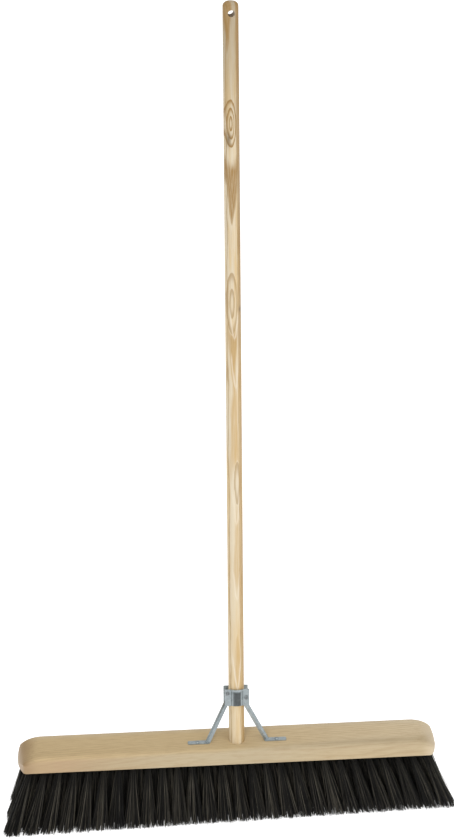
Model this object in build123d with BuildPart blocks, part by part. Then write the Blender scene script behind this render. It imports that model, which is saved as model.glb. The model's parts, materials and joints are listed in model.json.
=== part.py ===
from build123d import *
import os
from math import cos, radians, sin, sqrt

# Push broom: a wooden head with five rows of tufts, a round handle in a slanting socket,
# and a two-piece steel brace that is bolted round the handle and screwed to the head.
# Millimetres. The origin is the centre of the sweeping face, +X runs along the head,
# +Z is up, and the handle leans towards +Y.

os.makedirs("parts", exist_ok=True)

# head block
block_length = 756.0
block_width = 67.0
block_height = 35.0
end_bow = 9.0  # how far the middle of each end stands out past its corners
end_land = 2.0  # upright strip left under the big round of each end
end_round_length = 46.0  # the top runs down to the land at each end over this length
long_edge_round = 7.0
bottom_edge_round = 1.0

# tufts: rows run along the head
trim_length = 117.5  # free length of the bristles below the block
row_count = 5
column_pitch = 26.5
end_margin = 20.0  # end of the block to the first column, at least
row_margin = 8.0  # side of the block to the middle of the outer rows
tip_row_pitch = 21.6  # the rows fan out to this spacing at the floor
tip_gap = 4.6  # between the nearest tufts at the floor
tuft_root_radius = 4.4
tuft_hole_clearance = 0.2
tuft_hole_depth = 11.5
trim_allowance = 1.3  # length a tuft is made at, against its trimmed length
splay_left = 34.0  # sideways sweep of the last tufts of the front row at each end
splay_right = 44.0
splay_left_fade = 5.0  # each row behind sweeps this much less
splay_right_fade = 4.0
upright_column_x = -140.0  # the tufts stand straight here
forward_sweep = 12.0  # tips lie this far forwards at the left end, and backwards at the right

# staples that hold the folded bristles at the bottom of each hole
staple_length = 7.4
staple_depth = 2.0
staple_thickness = 0.5
staple_clearance = 0.15

# handle
handle_diameter = 28.0
handle_length = 1372.0
handle_lean = 20.6  # degrees from upright
handle_mouth_x = 16.0
handle_mouth_y = -3.3
handle_top_round = 9.0
handle_foot_chamfer = 1.5
handle_clearance = 0.15  # all round, in the socket and in the clamp
socket_floor = 2.2  # wood left between the socket and the tuft holes
hang_hole_diameter = 12.0
hang_hole_from_top = 20.0

# brace: two pressed stays that clamp round the handle
sheet = 1.5
clamp_height = 31.0
clamp_above_block = 83.0  # along the handle, block top to middle of clamp
flange_offset = 10.5  # handle axis to the inner face of the flanges
flange_margin = 5.2  # middle of a clamp bolt to the edge of its flange
lip_height = 4.0
lip_flare = 1.8
leg_width = 9.0
leg_ridge = 3.0  # how far the crease of a leg stands proud
leg_top_inset = 5.0  # edge of the flange to the middle of the leg's top
leg_overlap = 5.0  # the leg runs on up the back of the flange by this much
foot_bend_reach = 54.0  # sideways from the handle
foot_end_reach = 89.0
foot_forward = 6.0  # middle of the feet, in front of the middle of the socket's mouth
foot_corner = 2.5

# clamp bolts, washers and nuts
bolt_radius = 2.0
bolt_side_gap = 0.65  # between a bolt and the bore of the clamp
bolt_rise_left = 7.5  # above the middle of the clamp
bolt_rise_right = -1.0
bolt_head_radius = 3.6
bolt_head_height = 2.2
bolt_head_round = 1.2
bolt_socket_across = 3.0
bolt_socket_depth = 1.4
bolt_tail = 1.5  # thread past the nut
bolt_hole_clearance = 0.2
washer_radius = 4.0
washer_thickness = 1.0
washer_gap = 0.3  # between a washer and the trough
nut_across_flats = 7.0
nut_height = 3.2
nut_clearance = 0.06

# wood screws through the feet
screw_radius = 1.8
screw_length = 16.0
screw_point = 4.0
screw_tip_radius = 0.3
screw_head_radius = 3.4
screw_head_height = 1.9
screw_head_round = 1.1
screw_slot_width = 0.9
screw_slot_depth = 0.9
screw_clearance = 0.2

# worked out from the sizes above
block_top = trim_length + block_height
handle_radius = handle_diameter / 2
bore_radius = handle_radius + handle_clearance
lean = radians(handle_lean)
handle_direction = Vector(0, sin(lean), cos(lean))
mouth = Vector(handle_mouth_x, handle_mouth_y, block_top)
socket_wood = block_height - tuft_hole_depth - socket_floor
socket_depth = (socket_wood - bore_radius * sin(lean)) / cos(lean)
handle_plane = Plane(origin=mouth, x_dir=(1, 0, 0), z_dir=handle_direction)
clamp_plane = handle_plane.offset(clamp_above_block)
backwards = clamp_plane.y_dir
trough_radius = bore_radius + sheet
flange_back = flange_offset + sheet
trough_edge_x = sqrt(trough_radius**2 - flange_back**2)
bolt_x = max(bore_radius + bolt_side_gap + bolt_radius, trough_edge_x + washer_gap + washer_radius)
flange_reach = bolt_x + flange_margin
leg_top_x = flange_reach - leg_top_inset
screw_reach = (foot_bend_reach + foot_end_reach) / 2
foot_y = handle_mouth_y - foot_forward

column_count = int((block_length - 2 * end_margin) / column_pitch) + 1
row_pitch = (block_width - 2 * row_margin) / (row_count - 1)
nearest_tip = min(column_pitch, sqrt((column_pitch / 2) ** 2 + tip_row_pitch**2))
tuft_tip_radius = (nearest_tip - tip_gap) / 2
tuft_hole_radius = tuft_root_radius + tuft_hole_clearance
last_column_x = (column_count - 1) * column_pitch / 2


def foot_point(side, reach):  # on the middle line of the feet, reach sideways from the handle
    return (handle_mouth_x + side * reach, foot_y)


def tip_sweep(x, row):  # sideways travel of a tuft from its root at x to its tip
    if x < upright_column_x:
        share = (upright_column_x - x) / (upright_column_x + last_column_x)
        return -(splay_left - row * splay_left_fade) * share**1.5
    share = (x - upright_column_x) / (last_column_x - upright_column_x)
    return (splay_right - row * splay_right_fade) * share


def tuft_planes(row):  # a plane at the root of each tuft, with Z running down to its tip
    planes = []
    step = row - (row_count - 1) / 2
    stagger = row % 2  # every other row has one tuft fewer and stands half a pitch along
    for column in range(column_count - stagger):
        x = (column + stagger / 2) * column_pitch - last_column_x
        root = Vector(x, step * row_pitch, trim_length)
        tip_y = step * tip_row_pitch + forward_sweep * x / last_column_x
        tip = Vector(x + tip_sweep(x, row), tip_y, 0)
        planes.append(Plane(origin=root, z_dir=tip - root))
    return planes


all_tuft_planes = [plane for row in range(row_count) for plane in tuft_planes(row)]


# ---- head block
with BuildPart() as head_block:
    with BuildSketch(Plane.XY.offset(trim_length)):
        with BuildLine():
            half_length = block_length / 2
            corner_x = half_length - end_bow
            half_width = block_width / 2
            Line((-corner_x, -half_width), (corner_x, -half_width))
            ThreePointArc((corner_x, -half_width), (half_length, 0), (corner_x, half_width))
            Line((corner_x, half_width), (-corner_x, half_width))
            ThreePointArc((-corner_x, half_width), (-half_length, 0), (-corner_x, -half_width))
        make_face()
    extrude(amount=block_height)
    with BuildSketch(Plane.XZ):
        arc_height = block_height - end_land
        arc_x = half_length - end_round_length
        with Locations((0, trim_length + end_land / 2)):
            Rectangle(block_length, end_land)
        with Locations((0, block_top - arc_height / 2)):
            Rectangle(2 * arc_x, arc_height)
        with Locations((-arc_x, trim_length + end_land), (arc_x, trim_length + end_land)):
            Ellipse(end_round_length, arc_height)
    extrude(amount=block_width, both=True, mode=Mode.INTERSECT)
    side_faces = head_block.faces().filter_by(Axis.Y)
    side_edges = side_faces.edges().filter_by(lambda edge: edge.center().Z > trim_length + 0.1)
    fillet(side_edges, radius=long_edge_round)
    chamfer(head_block.faces().sort_by(Axis.Z)[0].edges(), length=bottom_edge_round)

    with BuildSketch(handle_plane):
        Circle(bore_radius)
    extrude(amount=block_height, mode=Mode.SUBTRACT)
    with BuildSketch(handle_plane):
        Circle(bore_radius)
    extrude(amount=-socket_depth, mode=Mode.SUBTRACT)

    with BuildSketch(Plane.XY.offset(block_top)):
        with Locations(foot_point(-1, screw_reach), foot_point(1, screw_reach)):
            Circle(screw_radius + screw_clearance)
    extrude(amount=-(screw_length + screw_clearance), mode=Mode.SUBTRACT)

    with Locations(*[plane.offset(-tuft_hole_depth).location for plane in all_tuft_planes]):
        Cylinder(
            tuft_hole_radius,
            2 * tuft_hole_depth,
            align=(Align.CENTER, Align.CENTER, Align.MIN),
            mode=Mode.SUBTRACT,
        )
head_block.part.label = "head_block"
export_step(head_block.part, "parts/head_block.step")


# ---- tufts and their staples, row 1 at the front
for row in range(row_count):
    planes = tuft_planes(row)
    seat = tuft_hole_depth - staple_depth - 2 * staple_clearance
    reach = trim_allowance * trim_length  # past the floor, then trimmed level
    flare = (tuft_tip_radius - tuft_root_radius) / trim_length
    with BuildPart() as tufts:
        with Locations(*[plane.offset(-seat).location for plane in planes]):
            Cylinder(tuft_root_radius, seat, align=(Align.CENTER, Align.CENTER, Align.MIN))
        with Locations(*[plane.location for plane in planes]):
            Cone(
                tuft_root_radius,
                tuft_root_radius + flare * reach,
                reach,
                align=(Align.CENTER, Align.CENTER, Align.MIN),
            )
        split(bisect_by=Plane.XY, keep=Keep.TOP)
    tufts.part.label = f"tufts_row_{row + 1}"
    export_step(tufts.part, f"parts/tufts_row_{row + 1}.step")

    with BuildPart() as staples:
        staple_planes = [plane.offset(staple_clearance - tuft_hole_depth) for plane in planes]
        with Locations(*[plane.location for plane in staple_planes]):
            Box(
                staple_length,
                staple_thickness,
                staple_depth,
                align=(Align.CENTER, Align.CENTER, Align.MIN),
            )
    staples.part.label = f"tuft_staples_row_{row + 1}"
    export_step(staples.part, f"parts/tuft_staples_row_{row + 1}.step")


# ---- handle
with BuildPart() as handle:
    handle_foot = handle_plane.offset(handle_clearance - socket_depth)
    with BuildSketch(handle_foot):
        Circle(handle_radius)
    extrude(amount=handle_length)
    ends = handle.edges().filter_by(GeomType.CIRCLE).sort_by(Axis.Z)
    fillet(ends[-1], radius=handle_top_round)
    chamfer(ends[0], length=handle_foot_chamfer)
    hang_hole_centre = handle_foot.offset(handle_length - hang_hole_from_top).origin
    with BuildSketch(Plane(origin=hang_hole_centre, x_dir=(1, 0, 0), z_dir=backwards)):
        Circle(hang_hole_diameter / 2)
    extrude(amount=handle_diameter, both=True, mode=Mode.SUBTRACT)
handle.part.label = "handle"
export_step(handle.part, "parts/handle.step")


# ---- brace
def bolt_plane(side, depth):  # square to a clamp bolt, depth behind the handle axis
    rise = bolt_rise_right if side > 0 else bolt_rise_left
    centre = clamp_plane.from_local_coords(Vector(side * bolt_x, depth, rise))
    return Plane(origin=centre, x_dir=(1, 0, 0), z_dir=backwards)


def leg_plane(facing, leg_side):  # plane across a leg at its foot, with Z up the leg
    foot = Vector(*foot_point(leg_side, foot_bend_reach), block_top)
    top_depth = facing * (flange_offset + sheet / 2)
    top = clamp_plane.from_local_coords(Vector(leg_side * leg_top_x, top_depth, -clamp_height / 2))
    up_leg = (top - foot).normalized()
    across = backwards.cross(up_leg).normalized()
    return Plane(origin=foot, x_dir=across, z_dir=up_leg), (top - foot).length


def make_stay(facing, leg_side):  # facing is -1 in front of the handle and 1 behind it
    bottom = clamp_plane.offset(-clamp_height / 2)
    lip_bottom = bottom.offset(clamp_height - lip_height)
    top = bottom.offset(clamp_height)
    mask = 2 * (trough_radius + lip_flare)
    mask_middle = (0, facing * (flange_offset - mask / 2))
    section, leg_length = leg_plane(facing, leg_side)

    with BuildPart() as stay:
        # flanges, then the half-round trough with its flared lip
        with BuildSketch(bottom):
            with Locations((0, facing * (flange_offset + sheet / 2))):
                Rectangle(2 * flange_reach, sheet)
        extrude(amount=clamp_height)
        with BuildSketch(bottom):
            Circle(trough_radius)
            with Locations(mask_middle):
                Rectangle(mask, mask, mode=Mode.SUBTRACT)
        extrude(amount=clamp_height - lip_height)
        with BuildSketch(lip_bottom):
            Circle(trough_radius)
            with Locations(mask_middle):
                Rectangle(mask, mask, mode=Mode.SUBTRACT)
        with BuildSketch(top):
            Circle(trough_radius + lip_flare)
            with Locations(mask_middle):
                Rectangle(mask, mask, mode=Mode.SUBTRACT)
        loft()
        with BuildSketch(bottom):
            Circle(bore_radius)
        extrude(amount=clamp_height, mode=Mode.SUBTRACT)
        with BuildSketch(lip_bottom):
            Circle(bore_radius)
        with BuildSketch(top):
            Circle(bore_radius + lip_flare)
        loft(mode=Mode.SUBTRACT)

        # creased leg, with the crease standing away from the handle
        with BuildSketch(section.offset(-leg_width)):
            with BuildLine():
                wing = leg_width / 2
                ridge = facing * leg_ridge / 2
                inner = ridge - facing * sheet
                Polyline(
                    (-wing, -ridge),
                    (0, ridge),
                    (wing, -ridge),
                    (wing, -ridge - facing * sheet),
                    (0, inner),
                    (-wing, -ridge - facing * sheet),
                    close=True,
                )
            make_face()
        extrude(amount=leg_width + leg_length + leg_overlap)

        # flat foot on the block
        with BuildSketch(Plane.XY.offset(block_top)):
            foot_start = foot_bend_reach - leg_width / 2
            with Locations(foot_point(leg_side, (foot_start + foot_end_reach) / 2)):
                RectangleRounded(foot_end_reach - foot_start, leg_width, foot_corner)
            with Locations(foot_point(leg_side, screw_reach)):
                Circle(screw_radius + screw_clearance, mode=Mode.SUBTRACT)
        extrude(amount=sheet)
        split(bisect_by=Plane.XY.offset(block_top), keep=Keep.TOP)

        with BuildSketch(handle_plane):
            Circle(bore_radius)
        extrude(amount=clamp_above_block, mode=Mode.SUBTRACT)
        for side in (-1, 1):
            with BuildSketch(bolt_plane(side, 0)):
                Circle(bolt_radius + bolt_hole_clearance)
            extrude(amount=facing * (flange_offset + 2 * sheet), mode=Mode.SUBTRACT)
    return stay


front_stay = make_stay(-1, 1)
front_stay.part.label = "front_stay"
export_step(front_stay.part, "parts/front_stay.step")

rear_stay = make_stay(1, -1)
rear_stay.part.label = "rear_stay"
export_step(rear_stay.part, "parts/rear_stay.step")


# ---- clamp bolts from the front, with a washer and a nut behind
nut_seat = flange_back + washer_thickness
for side, side_name in ((-1, "left"), (1, "right")):
    head_seat = bolt_plane(side, -flange_back)
    with BuildPart() as bolt:
        with BuildSketch(head_seat):
            Circle(bolt_head_radius)
        extrude(amount=-bolt_head_height)
        head_front = bolt.faces().sort_by(Axis(head_seat.origin, backwards))[0]
        fillet(head_front.edges(), radius=bolt_head_round)
        with BuildSketch(head_seat.offset(-bolt_head_height)):
            RegularPolygon(bolt_socket_across / 2, 6, major_radius=False)
        extrude(amount=bolt_socket_depth, mode=Mode.SUBTRACT)
        with BuildSketch(head_seat):
            Circle(bolt_radius)
        extrude(amount=flange_back + nut_seat + nut_height + bolt_tail)
    bolt.part.label = f"clamp_bolt_{side_name}"
    export_step(bolt.part, f"parts/clamp_bolt_{side_name}.step")

    with BuildPart() as washer:
        with BuildSketch(bolt_plane(side, flange_back)):
            Circle(washer_radius)
            Circle(bolt_radius + bolt_hole_clearance, mode=Mode.SUBTRACT)
        extrude(amount=washer_thickness)
    washer.part.label = f"clamp_washer_{side_name}"
    export_step(washer.part, f"parts/clamp_washer_{side_name}.step")

    with BuildPart() as nut:
        with BuildSketch(bolt_plane(side, nut_seat)):
            RegularPolygon(nut_across_flats / 2, 6, major_radius=False)
            Circle(bolt_radius + nut_clearance, mode=Mode.SUBTRACT)
        extrude(amount=nut_height)
    nut.part.label = f"clamp_nut_{side_name}"
    export_step(nut.part, f"parts/clamp_nut_{side_name}.step")


# ---- wood screws through the feet
for side, side_name in ((-1, "left"), (1, "right")):
    with BuildPart() as screw:
        with BuildSketch(Plane.XY.offset(block_top + sheet)):
            with Locations(foot_point(side, screw_reach)):
                Circle(screw_head_radius)
        extrude(amount=screw_head_height)
        fillet(screw.faces().sort_by(Axis.Z)[-1].edges(), radius=screw_head_round)
        with BuildSketch(Plane.XY.offset(block_top + sheet + screw_head_height)):
            with Locations(foot_point(side, screw_reach)):
                Rectangle(2 * screw_head_radius, screw_slot_width)
        extrude(amount=-screw_slot_depth, mode=Mode.SUBTRACT)
        with BuildSketch(Plane.XY.offset(block_top + sheet)):
            with Locations(foot_point(side, screw_reach)):
                Circle(screw_radius)
        extrude(amount=-(sheet + screw_length - screw_point))
        with BuildSketch(Plane.XY.offset(block_top - screw_length + screw_point)):
            with Locations(foot_point(side, screw_reach)):
                Circle(screw_radius)
        with BuildSketch(Plane.XY.offset(block_top - screw_length)):
            with Locations(foot_point(side, screw_reach)):
                Circle(screw_tip_radius)
        loft()
    screw.part.label = f"foot_screw_{side_name}"
    export_step(screw.part, f"parts/foot_screw_{side_name}.step")
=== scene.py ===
import json
import math
import random

import bpy
from mathutils import Matrix, Vector


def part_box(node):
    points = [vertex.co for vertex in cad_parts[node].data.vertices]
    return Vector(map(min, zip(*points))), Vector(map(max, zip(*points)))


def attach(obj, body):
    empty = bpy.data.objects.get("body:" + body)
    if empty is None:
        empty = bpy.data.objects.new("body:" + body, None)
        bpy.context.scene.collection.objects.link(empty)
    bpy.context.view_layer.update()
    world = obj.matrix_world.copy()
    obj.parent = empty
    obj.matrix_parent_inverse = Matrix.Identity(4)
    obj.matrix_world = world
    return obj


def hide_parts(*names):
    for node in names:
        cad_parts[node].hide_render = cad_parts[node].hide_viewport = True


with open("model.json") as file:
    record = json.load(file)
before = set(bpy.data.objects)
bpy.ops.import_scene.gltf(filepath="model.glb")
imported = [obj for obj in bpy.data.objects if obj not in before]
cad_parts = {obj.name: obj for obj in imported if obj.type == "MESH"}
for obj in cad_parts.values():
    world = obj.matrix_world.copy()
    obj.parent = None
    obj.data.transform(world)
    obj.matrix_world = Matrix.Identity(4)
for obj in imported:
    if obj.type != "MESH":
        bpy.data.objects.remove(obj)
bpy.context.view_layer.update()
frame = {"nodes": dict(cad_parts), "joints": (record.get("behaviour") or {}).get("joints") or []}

nodes = frame["nodes"]
joints = {joint["name"]: joint for joint in frame["joints"]}
print("frame loaded, nodes:", len(nodes))


def deselectAll():
    if bpy.context.object and bpy.context.object.mode != "OBJECT":
        bpy.ops.object.mode_set(mode="OBJECT")
    bpy.ops.object.select_all(action="DESELECT")


def linear(red, green, blue):  # a screen colour, 0 to 255, as the shader wants it
    def one(share):
        return share / 12.92 if share <= 0.04045 else ((share + 0.055) / 1.055) ** 2.4
    return (one(red / 255), one(green / 255), one(blue / 255), 1.0)


class Wire:
    # one output socket of a material; sums on it add Math nodes
    def __init__(self, socket):
        self.socket = socket

    def add(self, kind, settings=None, inputs=None, output=0):
        tree = self.socket.id_data
        node = tree.nodes.new(kind)
        for name, value in (settings or {}).items():
            setattr(node, name, value)
        for name, value in (inputs or {}).items():
            if isinstance(value, Wire):
                tree.links.new(value.socket, node.inputs[name])
            else:
                node.inputs[name].default_value = value
        return Wire(node.outputs[output])

    def maths(self, operation, *others):  # this value comes first, then the others
        return self.add("ShaderNodeMath", {"operation": operation}, dict(enumerate((self, *others))))

    def __add__(self, other):
        return self.maths("ADD", other)

    def __sub__(self, other):
        return self.maths("SUBTRACT", other)

    def __rsub__(self, other):
        return self.add("ShaderNodeMath", {"operation": "SUBTRACT"}, {0: other, 1: self})

    def __mul__(self, other):
        return self.maths("MULTIPLY", other)

    def __truediv__(self, other):
        return self.maths("DIVIDE", other)

    def __pow__(self, other):
        return self.maths("POWER", other)

    def __mod__(self, other):
        return self.maths("FLOORED_MODULO", other)

    def __abs__(self):
        return self.maths("ABSOLUTE")

    __radd__ = __add__
    __rmul__ = __mul__


def hill(value, centre, width):  # a smooth rise to 1 at the centre, gone two widths away
    away = (value - centre) * (1 / width)
    fall = away * away * -1
    return fall.maths("EXPONENT")


def ease(value, low, high):  # 0 below low, 1 above high, smooth between
    return value.add("ShaderNodeMapRange", {"interpolation_type": "SMOOTHSTEP"},
                     {"Value": value, "From Min": low, "From Max": high})


def fade(value, low, high, strength):  # the same, up to a strength
    return ease(value, low, high) * strength


def ringEdge(saw, low, high, drop):  # a ring's late wood darkens slowly, then stops short
    return ease(saw, low, high) * (1 - ease(saw, drop, 1.0))


def mixColours(mask, first, second):  # the first colour where the mask is 0, the second where it is 1
    return mask.add("ShaderNodeMix", {"data_type": "RGBA"}, {0: mask, 6: first, 7: second}, 2)


def strongest(masks):
    most = masks[0]
    for mask in masks[1:]:
        most = most.maths("MAXIMUM", mask)
    return most


def splitPlace(place):  # its three numbers as values
    split = place.add("ShaderNodeSeparateXYZ", None, {0: place})
    return [Wire(socket) for socket in split.socket.node.outputs]


def stretch(place, spread):  # spread is a share for each of the three directions
    return place.add("ShaderNodeVectorMath", {"operation": "MULTIPLY"}, {0: place, 1: spread})


def noise(place, scale=1.0, detail=3.0, roughness=0.55):
    return place.add("ShaderNodeTexNoise", None,
                     {"Vector": place, "Scale": scale, "Detail": detail, "Roughness": roughness})


def newMaterial(name):
    material = bpy.data.materials.new(name)
    material.use_nodes = True
    shader = material.node_tree.nodes["Principled BSDF"]
    start = Wire(shader.outputs[0])
    place = start.add("ShaderNodeTexCoord", None, None, "Object")
    return material, shader, place


def plug(shader, name, value):
    if isinstance(value, Wire):
        shader.id_data.links.new(value.socket, shader.inputs[name])
    else:
        shader.inputs[name].default_value = value


def bumpFrom(height, distance, strength):
    return height.add("ShaderNodeBump", None, {"Height": height, "Distance": distance, "Strength": strength})


# camera and light

cameraSet = {
    "azimuth": -7.628,
    "elevation": 36.929,
    "roll": -2.284,
    "distance": 10.0,
    "aim": (0.00265, 0.2, 0.7185),
    "lens": 242.57,
    "film": 36.0,
}


def placeCamera():
    turn, rise, roll = (math.radians(cameraSet[name]) for name in ("azimuth", "elevation", "roll"))
    back = Vector((math.sin(turn) * math.cos(rise), -math.cos(turn) * math.cos(rise), math.sin(rise)))
    right = Vector((math.cos(turn), math.sin(turn), 0))
    up = back.cross(right)
    tiltedRight = right * math.cos(roll) - up * math.sin(roll)
    tiltedUp = right * math.sin(roll) + up * math.cos(roll)
    data = bpy.data.cameras.new("camera")
    data.sensor_fit = "VERTICAL"
    data.sensor_height = cameraSet["film"]
    data.lens = cameraSet["lens"]
    data.clip_end = 60
    camera = bpy.data.objects.new("camera", data)
    bpy.context.scene.collection.objects.link(camera)
    turned = Matrix((tiltedRight, tiltedUp, back)).transposed().to_4x4()
    stand = Vector(cameraSet["aim"]) + back * cameraSet["distance"]
    camera.matrix_world = Matrix.Translation(stand) @ turned
    bpy.context.scene.camera = camera


lightSet = {  # name: place, size, power, aim height
    "key": ((-1.6, -3.4, 3.6), 2.6, 85, 0.5),
    "fill": ((2.8, -2.6, 2.2), 2.6, 45, 0.4),
    "top": ((0.2, 1.4, 4.2), 3.0, 50, 0.4),
}
worldSet = {"colour": (1.0, 1.0, 1.0, 1.0), "strength": 0.42}
floorSet = {"size": 14.0, "colour": (0.9, 0.9, 0.9, 1.0), "glow": 0.62, "roughness": 0.9}


def placeLights():
    for name, (place, size, power, height) in lightSet.items():
        data = bpy.data.lights.new(name, "AREA")
        data.shape = "SQUARE"
        data.size = size
        data.energy = power
        lamp = bpy.data.objects.new(name, data)
        bpy.context.scene.collection.objects.link(lamp)
        lamp.location = place
        lamp.rotation_euler = (Vector((0, 0.05, height)) - Vector(place)).to_track_quat("-Z", "Y").to_euler()
    world = bpy.data.worlds.new("studio")
    world.use_nodes = True
    world.node_tree.nodes["Background"].inputs["Color"].default_value = worldSet["colour"]
    world.node_tree.nodes["Background"].inputs["Strength"].default_value = worldSet["strength"]
    bpy.context.scene.world = world


def placeFloor():
    deselectAll()
    bpy.ops.mesh.primitive_plane_add(size=floorSet["size"], location=(0, 0, 0))
    floor = bpy.context.object
    floor.name = "floor"
    material, shader, place = newMaterial("paleFloor")
    plug(shader, "Base Color", floorSet["colour"])
    plug(shader, "Roughness", floorSet["roughness"])
    plug(shader, "Emission Color", (1.0, 1.0, 1.0, 1.0))
    plug(shader, "Emission Strength", floorSet["glow"])
    floor.data.materials.append(material)


placeCamera()
placeLights()
placeFloor()
bpy.context.scene.view_settings.view_transform = "Standard"
print("camera, lights and floor placed")


# handle: turned from one pale stick, its growth rings cut almost flat at the front

handleSlide = joints["handle_slide"]
handleAxis = Vector(handleSlide["axis"]).normalized()
handleGrain = {
    "foot": (0.016, -0.0033, 0.1525),
    "turnToFront": 6.4,  # degrees from the block's front to the side with the flat grain
    "flames": (  # from, to, half width at the from end, middle line, strength; all but the last in mm
        (1378, 1262, 9.0, -9.0, 1.0), (1378, 1150, 7.0, 12.0, 0.8), (1068, 955, 13.0, -3.0, 1.0),
        (1215, 1300, 5.0, 11.0, 0.7), (765, 650, 8.5, -3.0, 1.0), (520, 720, 9.0, -2.0, 0.75),
        (300, 455, 9.0, 1.5, 0.6), (70, 205, 10.0, 0.5, 0.75), (300, 175, 5.0, 6.0, 0.5),
        (905, 1010, 4.5, 9.5, 0.6), (-20, 70, 5.0, -3.0, 0.45),
    ),
    "flameEdge": (-0.4, 2.6),  # mm in from its outline, where a flame fades in
    "flameStart": (-0.16, 0.1),  # the same at its wide end, as shares of its length
    "flameRings": 0.3,  # rings to the mm inside a flame
    "taper": 0.6,  # how bluntly flames and vees come to a point
    "eyes": (  # middle of an oval up the handle, half length, half width, middle line, rings, strength
        (1140, 44, 11.0, -4.5, 3.0, 1.0), (815, 58, 9.5, -4.5, 2.0, 0.62), (485, 42, 6.5, 2.0, 1.0, 0.55),
    ),
    "vees": (  # tip of a pale V, its reach upwards, half width there, middle line
        (750, 60, 8.0, -1.0), (660, 70, 7.0, 0.5), (408, 70, 7.0, 0.0),
        (268, 60, 7.0, 0.0), (98, 75, 8.0, -1.0),
    ),
    "veeWidth": 1.3,
    "knots": ((-8.4, 1112, 3.4, 12.0), (9.4, 804, 2.2, 5.0)),  # across, up, half width, half length
    "lines": (-11.6, 6.2, 8.6, 10.4, 12.2),  # thin rings that run the whole length, in mm across
    "lineWidth": 0.62,
    "wander": (0.08, 0.08, 0.011),  # noises across, deep and up the stick, to the mm
    "fine": (1.7, 1.7, 0.03),
    "patches": (0.12, 0.12, 0.008),
    "streaks": (2.6, 2.6, 0.014),
    "wanderPush": 7.0,  # mm that each noise moves the grain sideways
    "finePush": 2.4,
    "front": (-6.0, 4.0),  # mm deep where the front's flat grain gives way to the far side's straight grain
    "farRings": (6.0, 0.2),  # wander and rings to the mm there
    "eyeRing": (0.25, 0.85, 0.9),  # shares of a ring where its dark part starts, is full and falls away
    "farRing": (0.5, 0.95, 0.96),
    "yellowing": (60, 420, 0.45),  # these four: from, to, strength
    "greying": (1060, 1340, 0.62),
    "browning": (560, 1000, 0.95),
    "rightBand": (4.0, 8.5, 0.6),
    "streakStart": (0.42, 0.75),
    "streakGrowth": (500, 950, 0.22),
    "strengths": {
        "flame": 0.75, "flameFine": 0.4, "vee": 0.75, "line": 0.7,
        "farRing": 0.7, "streak": 0.28, "knot": 0.85,
    },
    "roughness": (0.45, 0.2),  # at its least, and how much the fine grain adds
    "bump": (0.0002, 0.35),
    "pale": linear(219, 206, 180),
    "cream": linear(229, 217, 195),
    "straw": linear(213, 188, 144),
    "tan": linear(194, 160, 104),
    "brown": linear(152, 117, 62),
    "grey": linear(140, 123, 95),
    "knot": linear(116, 96, 66),
}


def flameMask(side, high, wander):
    flames = []
    for start, end, halfWidth, middle, strength in handleGrain["flames"]:
        way = (high - start) * (1 / (end - start))  # 0 at the wide end, 1 at the point
        half = (1 - way).maths("MAXIMUM", 0.0) ** handleGrain["taper"] * halfWidth
        inner = half - abs(side - middle)
        flame = ease(inner, *handleGrain["flameEdge"]) * ease(way + wander * 0.5, *handleGrain["flameStart"])
        rings = ease((inner * handleGrain["flameRings"]) % 1.0, 0.2, 0.95)
        flames.append(flame * strength * (rings * -0.3 + 1.0))
    return strongest(flames)


def eyeMasks(side, high):  # the dark rings of the ovals, and what is left outside them
    rings, outside = [], None
    for middleHigh, halfLength, halfWidth, middle, count, strength in handleGrain["eyes"]:
        up, off = (high - middleHigh) * (1 / halfLength), (side - middle) * (1 / halfWidth)
        reach = (up * up + off * off) ** 0.5
        saw = (reach * count) % 1.0
        inside = 1 - ease(reach, 0.95, 1.05)
        rings.append(ringEdge(saw, *handleGrain["eyeRing"]) * inside * strength)
        outside = 1 - inside if outside is None else outside * (1 - inside)
    return strongest(rings), outside


def veeMask(side, high):
    vees = []
    for tip, reach, halfWidth, middle in handleGrain["vees"]:
        way = (high - tip) * (1 / reach)
        half = way.maths("MAXIMUM", 0.0) ** handleGrain["taper"] * halfWidth
        line = hill(abs(side - middle) - half, 0.0, handleGrain["veeWidth"])
        vees.append(line * ease(way, -0.1, 0.1) * (1 - ease(way, 0.7, 1.0)))
    return strongest(vees)


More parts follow.
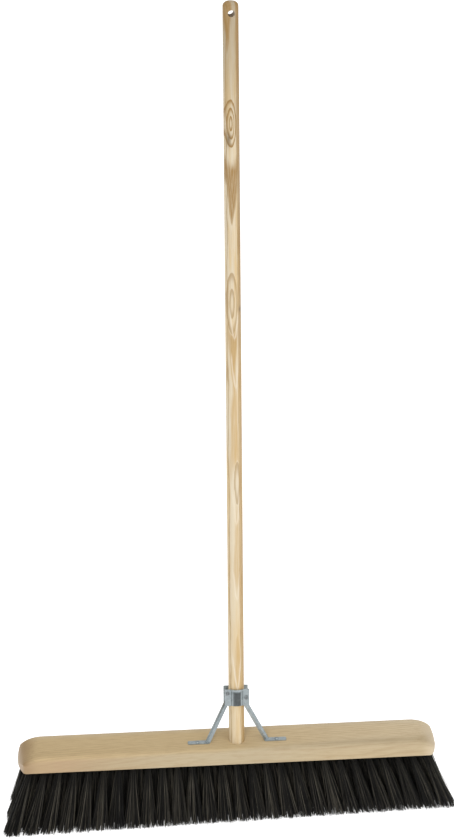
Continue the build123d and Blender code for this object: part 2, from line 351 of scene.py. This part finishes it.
def makeHandleWood():
    grain, strengths = handleGrain, handleGrain["strengths"]
    material, shader, place = newMaterial("handleWood")
    lean = math.atan2(handleAxis.y, handleAxis.z)
    turn = Matrix.Rotation(-lean, 3, "X") @ Matrix.Rotation(math.radians(grain["turnToFront"]), 3, "Z")
    stick = place.add("ShaderNodeMapping", {"vector_type": "TEXTURE"},  # from metres to mm along the handle
                      {"Vector": place, "Location": grain["foot"], "Rotation": turn.to_euler(),
                       "Scale": (0.001, 0.001, 0.001)})
    side, deep, high = splitPlace(stick)
    wander = noise(stretch(stick, grain["wander"])) - 0.5
    fine = noise(stretch(stick, grain["fine"]), 1.0, 4.0, 0.65)
    patches = noise(stretch(stick, grain["patches"]))
    streaks = noise(stretch(stick, grain["streaks"]), 1.0, 3.0, 0.7)
    side = side + wander * grain["wanderPush"] + (fine - 0.5) * grain["finePush"]
    front = 1 - ease(deep, *grain["front"])

    wood = mixColours(ease(patches, 0.42, 0.7), grain["pale"], grain["straw"])
    footShare = grain["yellowing"][2] - fade(high, *grain["yellowing"])
    wood = mixColours(footShare, wood, grain["straw"])
    wood = mixColours(fade(high, *grain["greying"]), wood, grain["grey"])
    heart = mixColours(fade(high, *grain["browning"]), grain["tan"], grain["brown"])

    rings, outside = eyeMasks(side, high)
    flames = flameMask(side, high, wander) * outside
    fineShare = ease(fine, 0.3, 0.7) * strengths["flameFine"] + strengths["flame"]
    wood = mixColours(flames * fineShare, wood, heart)
    wood = mixColours(rings, wood, grain["brown"])
    wood = mixColours(veeMask(side, high) * strengths["vee"], wood, grain["cream"])
    wood = mixColours(fade(side, *grain["rightBand"]) * front, wood, heart)
    for across in grain["lines"]:
        line = hill(side, across, grain["lineWidth"]) * front
        wood = mixColours(line * strengths["line"], wood, grain["brown"])

    bend, pitch = grain["farRings"]
    saw = ((deep + wander * bend) * pitch) % 1.0
    farRing = ringEdge(saw, *grain["farRing"]) * (1 - front)
    wood = mixColours(farRing * strengths["farRing"], wood, grain["tan"])
    streakStrength = fade(high, *grain["streakGrowth"]) + strengths["streak"]
    wood = mixColours(ease(streaks, *grain["streakStart"]) * streakStrength, wood, heart)
    for across, middleHigh, halfWidth, halfLength in grain["knots"]:
        mark = hill(side, across, halfWidth) * hill(high, middleHigh, halfLength)
        wood = mixColours(mark * strengths["knot"], wood, grain["knot"])

    least, extra = grain["roughness"]
    plug(shader, "Base Color", wood)
    plug(shader, "Roughness", fine * extra + least)
    plug(shader, "Normal", bumpFrom(streaks, *grain["bump"]))
    return material


# head block: pale close-grained board with bowed ends

blockGrain = {
    # top, topRight, front and frontLeft are painted light and shade: the top and the front face get their own
    # tones, as light falls on them differently; the top lightens towards the right end and the front darkens
    # towards the left end
    "top": linear(196, 173, 131),
    "topRight": linear(214, 198, 167),
    "warm": linear(192, 164, 118),
    "front": linear(181, 165, 134),
    "frontLeft": linear(166, 144, 111),
    "line": linear(152, 124, 86),
    "pink": linear(180, 149, 118),
    "greyBand": linear(196, 182, 158),
    "endLeft": linear(150, 122, 86),
    "endRight": linear(206, 189, 160),
    "slopes": (0.6, 0.8),  # how much of the height seen from the front is top, and how much is front
    "toneLeft": 0.70,  # share of that height where the painted top and front tones meet
    "toneRight": 0.45,
    "toneBlur": 0.07,
    "toneWander": 0.22,
    "wander": (3.0, 18.0, 18.0),  # noises along, deep and up the block, to the metre
    "bend": (2.2, 9.0, 9.0),
    "fine": (14.0, 420.0, 420.0),
    "flecks": (26.0, 420.0, 420.0),
    "rings": (210, 90, -5.0, 9.0, 0.4),  # to the metre deep and up, over the length, and by each noise
    "ringEdge": (0.4, 0.93, 0.95),
    "backBand": 0.16,  # share of the height
    "pinkPatch": (0.075, 0.05),  # metres in from the left end, and half width
    "leftEnd": (0.004, 0.036),  # metres in from the end
    "rightEnd": (0.004, 0.03),
    "endWander": 0.03,
    "strengths": {
        "warm": 0.35, "line": 0.27, "fleck": 0.42, "greyBand": 0.55,
        "pink": 0.35, "endLeft": 0.8, "endRight": 0.7,
    },
    "roughness": (0.62, -0.28, 0.12),  # the board's, its left end's share and the fine grain's
    "bump": (0.0002, 0.35),
}
blockLow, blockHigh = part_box("head_block")


def makeBlockWood():
    grain, strengths = blockGrain, blockGrain["strengths"]
    material, shader, place = newMaterial("blockWood")
    along, deep, high = splitPlace(place)
    halfLength = blockHigh.x
    topSlope, frontSlope = grain["slopes"]
    fall = (blockHigh.y - deep) * topSlope + (blockHigh.z - high) * frontSlope
    drop = fall / ((blockHigh.y - blockLow.y) * topSlope + (blockHigh.z - blockLow.z) * frontSlope)
    share = along / (2 * halfLength) + 0.5
    wander = noise(stretch(place, grain["wander"]))
    bend = noise(stretch(place, grain["bend"]), 1.0, 2.0)
    fine = noise(stretch(place, grain["fine"]), 1.0, 4.0, 0.65)
    flecks = noise(stretch(place, grain["flecks"]), 1.0, 4.0, 0.75)

    # painted light and shade: the top and the front face get different tones, meeting along a line that
    # slants along the block
    meeting = share * (grain["toneRight"] - grain["toneLeft"]) + grain["toneLeft"]
    lower = ease(drop - meeting + (wander - 0.5) * grain["toneWander"], -grain["toneBlur"], grain["toneBlur"])
    paintedTopTone = mixColours(ease(share, 0.45, 1.0), grain["top"], grain["topRight"])
    paintedFrontTone = mixColours(ease(share, 0.02, 0.4), grain["frontLeft"], grain["front"])
    wood = mixColours(lower, paintedTopTone, paintedFrontTone)
    wood = mixColours(fade(bend, 0.3, 0.7, strengths["warm"]), wood, grain["warm"])

    byDeep, byHigh, byLength, byBend, byFine = grain["rings"]
    level = deep * byDeep + high * byHigh + share * byLength + bend * byBend + fine * byFine
    saw = level % 1.0
    ring = ringEdge(saw, *grain["ringEdge"]) * ease(wander, 0.3, 0.6)
    wood = mixColours(ring * strengths["line"], wood, grain["line"])
    wood = mixColours(fade(flecks, 0.42, 0.72, strengths["fleck"]), wood, grain["line"])

    backBand = 1 - ease(drop, 0.0, grain["backBand"])
    wood = mixColours(backBand * strengths["greyBand"], wood, grain["greyBand"])
    patchPlace, patchWidth = grain["pinkPatch"]
    pink = hill(along, patchPlace - halfLength, patchWidth) * lower
    wood = mixColours(pink * strengths["pink"], wood, grain["pink"])
    waved = along + (wander - 0.5) * grain["endWander"]
    leftEnd = 1 - ease(waved, *(inset - halfLength for inset in grain["leftEnd"]))
    rightEnd = ease(waved, *(halfLength - inset for inset in reversed(grain["rightEnd"])))
    wood = mixColours(leftEnd * strengths["endLeft"], wood, grain["endLeft"])
    wood = mixColours(rightEnd * strengths["endRight"], wood, grain["endRight"])

    board, atLeft, byFine = grain["roughness"]
    plug(shader, "Base Color", wood)
    plug(shader, "Roughness", leftEnd * atLeft + (fine - 0.5) * byFine + board)
    plug(shader, "Normal", bumpFrom(fine, *grain["bump"]))
    return material


# stays, bolts and screws

steelSet = {
    "sheet": linear(182, 191, 194),
    "sheetDark": linear(128, 137, 139),
    # trough: painted dark reflection and shade on the clamp's curved middle, also used for the painted shadow
    # line at its edge
    "trough": linear(62, 64, 64),
    "zinc": linear(160, 166, 168),
    "zincDark": linear(116, 119, 120),
    "staple": linear(168, 160, 140),
    "crystalScale": 260.0,
    "cloudScale": 60.0,
    "shading": (0.35, 0.45),  # how far the crystals and the clouds darken the sheet
    "reflectionStreaks": (900.0, 20.0, 20.0),
    "clampHeight": 0.0315,
    "troughSide": (0.0045, 0.0098),  # metres from the handle's middle where the painted dark reflection in the trough fades out
    "troughTop": (0.0075, 0.003),  # metres down from the clamp's top
    "troughDark": (0.55, 0.6),  # at its least, and what the streaks add
    "paintedEdgeShadow": (0.0102, 0.0006),  # painted shadow line along the trough's edge: from the handle's middle, and half width
    "paintedEdgeShadowDark": 0.8,
    "sheetGloss": {
        "metallic": 0.75, "roughness": 0.32, "crystals": 0.14, "clouds": 0.12, "bump": (0.0004, 0.3),
    },
    "zincGloss": {"metallic": 0.9, "roughness": 0.25, "clouds": 0.25, "bump": (0.0002, 0.25)},
    "boltCloud": 400.0,
    "stapleCloud": 700.0,
}
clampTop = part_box("front_stay")[1].z
clampFoot = clampTop - steelSet["clampHeight"]


def makeSheetSteel():
    gloss = steelSet["sheetGloss"]
    material, shader, place = newMaterial("galvanisedSheet")
    crystals = place.add("ShaderNodeTexVoronoi", {"feature": "F1"},
                         {"Vector": place, "Scale": steelSet["crystalScale"]}, "Color")
    facet = crystals.add("ShaderNodeSeparateColor", None, {0: crystals})
    cloud = noise(place, steelSet["cloudScale"])
    byFacet, byCloud = steelSet["shading"]
    steel = mixColours(facet * byFacet + cloud * byCloud, steelSet["sheet"], steelSet["sheetDark"])

    side, _, high = splitPlace(place)
    away = abs(side - handleGrain["foot"][0])
    topStart, topEnd = (clampTop - down for down in steelSet["troughTop"])
    clampOnly = ease(high, clampFoot - 0.001, clampFoot + 0.001) * (1 - ease(high, topStart, topEnd))
    # painted reflection: the clamp's curved middle is painted dark where it would reflect the dark
    # surroundings, in streaks running up and down
    reflectionStreaks = noise(stretch(place, steelSet["reflectionStreaks"]), 1.0, 2.0)
    least, extra = steelSet["troughDark"]
    paintedTroughShade = (1 - ease(away, *steelSet["troughSide"])) * clampOnly * (reflectionStreaks * extra + least)
    steel = mixColours(paintedTroughShade, steel, steelSet["trough"])
    # a thin painted shadow line along the trough's edge
    paintedEdgeShadow = hill(away, *steelSet["paintedEdgeShadow"]) * clampOnly
    steel = mixColours(paintedEdgeShadow * steelSet["paintedEdgeShadowDark"], steel, steelSet["trough"])

    plug(shader, "Base Color", steel)
    plug(shader, "Metallic", gloss["metallic"])
    plug(shader, "Roughness", facet * gloss["crystals"] + cloud * gloss["clouds"] + gloss["roughness"])
    plug(shader, "Normal", bumpFrom(cloud, *gloss["bump"]))
    return material


def makeZinc(name, colour, scale):
    gloss = steelSet["zincGloss"]
    material, shader, place = newMaterial(name)
    cloud = noise(place, scale)
    plug(shader, "Base Color", mixColours(ease(cloud, 0.35, 0.7), colour, steelSet["zincDark"]))
    plug(shader, "Metallic", gloss["metallic"])
    plug(shader, "Roughness", cloud * gloss["clouds"] + gloss["roughness"])
    plug(shader, "Normal", bumpFrom(cloud, *gloss["bump"]))
    return material


finishes = {
    "handle": makeHandleWood(),
    "head_block": makeBlockWood(),
    "stay": makeSheetSteel(),
    "clamp": makeZinc("boltZinc", steelSet["zinc"], steelSet["boltCloud"]),
    "staples": makeZinc("stapleWire", steelSet["staple"], steelSet["stapleCloud"]),
}
finishes["screw"] = finishes["stay"]
for nodeName, node in nodes.items():
    for part, finish in finishes.items():
        if part in nodeName:
            node.material_slots[0].material = finish
print("wood and steel finished")


# tufts: each one is many bristles that leave a hole and fan out to the trimmed edge

bristleSet = {
    "count": 260,
    "sides": 3,
    "rings": 4,
    "rootWidth": 0.0006,
    "middleWidth": 0.00088,
    "tipWidth": 0.00096,
    "start": 0.0015,  # how far up its hole a bristle is drawn
    "rootReach": 0.0042,
    "tipReach": (0.0150, 0.0128),  # sideways, then forwards and back
    "squareness": 0.8,  # the fans are cut nearer to squares than to circles at the floor
    "spreading": -0.25,  # below nought puts more of a fan's tips near its edge
    "gather": 0.15,  # how far a bristle leans to the middle of its clump
    "stray": 0.0013,
    "ragged": 0.00176,  # how uneven the cut ends are, in metres up from the floor
    "floorGap": 0.0002,
    "bow": 0.0007,
    "clumps": 16,
    "tone": (0.44, 0.1, 0.32),  # the usual one, a clump's share and a bristle's own
    "seed": 7,
}
ringSlack = 0.0006  # how near to the block's underside a root ring's points lie, in metres
ringGap = 0.012  # root rings are further apart than this, and their points nearer
goldenAngle = math.pi * (3 - math.sqrt(5))


def makeOneBristle():  # a unit long and a unit wide, from its root at 0 to its tip at -1
    deselectAll()
    bpy.ops.mesh.primitive_cylinder_add(vertices=bristleSet["sides"], radius=0.5, depth=1.0,
                                        location=(0, 0, -0.5), end_fill_type="TRIFAN")
    bristle = bpy.context.object
    bpy.ops.object.transform_apply(location=True, rotation=True, scale=True)
    bpy.ops.object.mode_set(mode="EDIT")
    for cut in range(1, bristleSet["rings"] - 1):
        bpy.ops.mesh.select_all(action="SELECT")
        bpy.ops.mesh.bisect(plane_co=(0, 0, -cut / (bristleSet["rings"] - 1)), plane_no=(0, 0, 1))
    bpy.ops.object.mode_set(mode="OBJECT")
    return bristle


def ringCentres(name, low, high, count):  # the middles of a row's rings at one height, left to right
    near = (v.co.copy() for v in nodes[name].data.vertices if low <= v.co.z <= high)
    points = sorted(near, key=lambda p: p.x)
    widest = sorted(range(1, len(points)), key=lambda n: points[n - 1].x - points[n].x)[:count - 1]
    cuts = [0] + sorted(widest) + [len(points)]
    centres = []
    for group in (points[first:last] for first, last in zip(cuts, cuts[1:])):
        spans = [(min(p[i] for p in group), max(p[i] for p in group)) for i in range(3)]
        centres.append(Vector((lowest + highest) / 2 for lowest, highest in spans))
    return centres


def tuftCount(name):
    near = sorted(v.co.x for v in nodes[name].data.vertices if abs(v.co.z - blockLow.z) < ringSlack)
    return 1 + sum(right - left > ringGap for left, right in zip(near, near[1:]))


def widthAt(share):
    if share < 0.5:
        return bristleSet["rootWidth"] + (bristleSet["middleWidth"] - bristleSet["rootWidth"]) * share * 2
    return bristleSet["middleWidth"] + (bristleSet["tipWidth"] - bristleSet["middleWidth"]) * (share * 2 - 1)


def makeClumps(dice):  # where a tuft's clumps of bristles gather, and each one's lift and tone
    clumps = []
    for _ in range(bristleSet["clumps"]):
        angle, reach = dice.uniform(0, 2 * math.pi), math.sqrt(dice.random())
        centre = Vector((math.cos(angle) * reach, math.sin(angle) * reach, 0))
        dice.random()  # not used, but the rolls after it depend on it
        clumps.append((centre, dice.uniform(-0.8, 0.8), dice.uniform(-1, 1)))
    return clumps


def scatter(dice, size):
    return Vector((dice.gauss(0, 1), dice.gauss(0, 1), 0)) * size


def rollBristle(number, root, tip, clumps, dice):  # its two ends, bow, twist and tone
    reach = math.sqrt((number + 0.5) / bristleSet["count"])
    angle = number * goldenAngle + dice.uniform(-0.3, 0.3)
    out = Vector((math.cos(angle) * reach, math.sin(angle) * reach, 0))
    corner = max(abs(math.cos(angle)), abs(math.sin(angle))) ** -bristleSet["squareness"]
    centre, lift, clumpTone = min(clumps, key=lambda clump: (clump[0] - out).length)
    stray = scatter(dice, bristleSet["stray"])
    top = root + out * bristleSet["rootReach"]
    top.z = blockLow.z + bristleSet["start"]
    sideways, forwards = bristleSet["tipReach"]
    lean = (centre - out) * bristleSet["gather"]
    spread = (out * corner * reach ** bristleSet["spreading"] + lean) * forwards
    spread.x *= sideways / forwards
    end = tip + spread + stray
    end.z = max(bristleSet["floorGap"], (dice.random() ** 2 + 0.25 * (1 + lift)) * bristleSet["ragged"])
    bow = scatter(dice, bristleSet["bow"])
    twist = dice.uniform(0, 2 * math.pi)
    usual, byClump, own = bristleSet["tone"]
    tone = min(1.0, max(0.0, usual + byClump * clumpTone + dice.gauss(0, own)))
    return top, end, bow, twist, tone


def growRow(name, bristle, finish, dice):
    count = tuftCount(name)
    roots = ringCentres(name, blockLow.z - ringSlack, blockLow.z + ringSlack, count)
    tips = ringCentres(name, -0.001, 0.0005, count)
    shape = [v.co.copy() for v in bristle.data.vertices]
    sides = [tuple(p.vertices) for p in bristle.data.polygons]
    points, faces, tones, shares = [], [], [], []
    for root, tip in zip(roots, tips):
        clumps = makeClumps(dice)
        for number in range(bristleSet["count"]):
            top, end, bow, twist, tone = rollBristle(number, root, tip, clumps, dice)
            cosTwist, sinTwist = math.cos(twist), math.sin(twist)
            first = len(points)
            for corner in shape:
                share = -corner.z
                width = widthAt(share)
                spot = top.lerp(end, share) + bow * (4 * share * (1 - share))
                across = (corner.x * cosTwist - corner.y * sinTwist) * width
                deep = (corner.x * sinTwist + corner.y * cosTwist) * width
                points.append((spot.x + across, spot.y + deep, spot.z))
                tones.append(tone)
                shares.append(share)
            faces.extend(tuple(first + index for index in side) for side in sides)
    mesh = bpy.data.meshes.new(name.replace("tufts", "bristles"))
    mesh.from_pydata(points, [], faces)
    mesh.attributes.new("tone", "FLOAT", "POINT").data.foreach_set("value", tones)
    mesh.attributes.new("share", "FLOAT", "POINT").data.foreach_set("value", shares)
    mesh.materials.append(finish)
    row = bpy.data.objects.new(mesh.name, mesh)
    bpy.context.scene.collection.objects.link(row)
    mesh.shade_smooth()
    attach(row, "head")
    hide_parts(name)
    return row


fibreSet = {
    "dark": linear(10, 9, 7),
    "light": linear(106, 101, 89),
    "toneStart": 0.46,  # only bristles of a higher tone than this are light
    "dust": (30.0, 0.4, 0.8),  # its scale, then the lightness without it and what it adds
    "root": (0.45, 0.2, 0.8),  # how far down from the root the painted shade reaches, its lightness and what the rest adds
    "roughness": (0.5, 0.15),
    "specular": 0.22,
}


def makeBristleFinish():
    material, shader, place = newMaterial("bristleFibre")
    tone = place.add("ShaderNodeAttribute", {"attribute_name": "tone"}, None, "Fac")
    share = place.add("ShaderNodeAttribute", {"attribute_name": "share"}, None, "Fac")
    dustScale, dustLeast, dustExtra = fibreSet["dust"]
    dust = noise(place, dustScale) * dustExtra + dustLeast
    # painted shade: bristles are darker towards their roots, standing in for the shade under the block and
    # inside the tufts
    rootShadeEnd, rootShadeLeast, rootShadeExtra = fibreSet["root"]
    root = fade(share, 0.0, rootShadeEnd, rootShadeExtra) + rootShadeLeast
    lightness = ease(tone, fibreSet["toneStart"], 1.0) * dust * root
    least, extra = fibreSet["roughness"]
    plug(shader, "Base Color", mixColours(lightness, fibreSet["dark"], fibreSet["light"]))
    plug(shader, "Roughness", tone * extra + least)
    plug(shader, "Specular IOR Level", fibreSet["specular"])
    return material


dice = random.Random(bristleSet["seed"])
oneBristle = makeOneBristle()
bristleFinish = makeBristleFinish()
for rowName in sorted(name for name in nodes if name.startswith("tufts_row")):
    growRow(rowName, oneBristle, bristleFinish, dice)
bpy.data.objects.remove(oneBristle)
print("bristles grown")

bpy.context.view_layer.update()
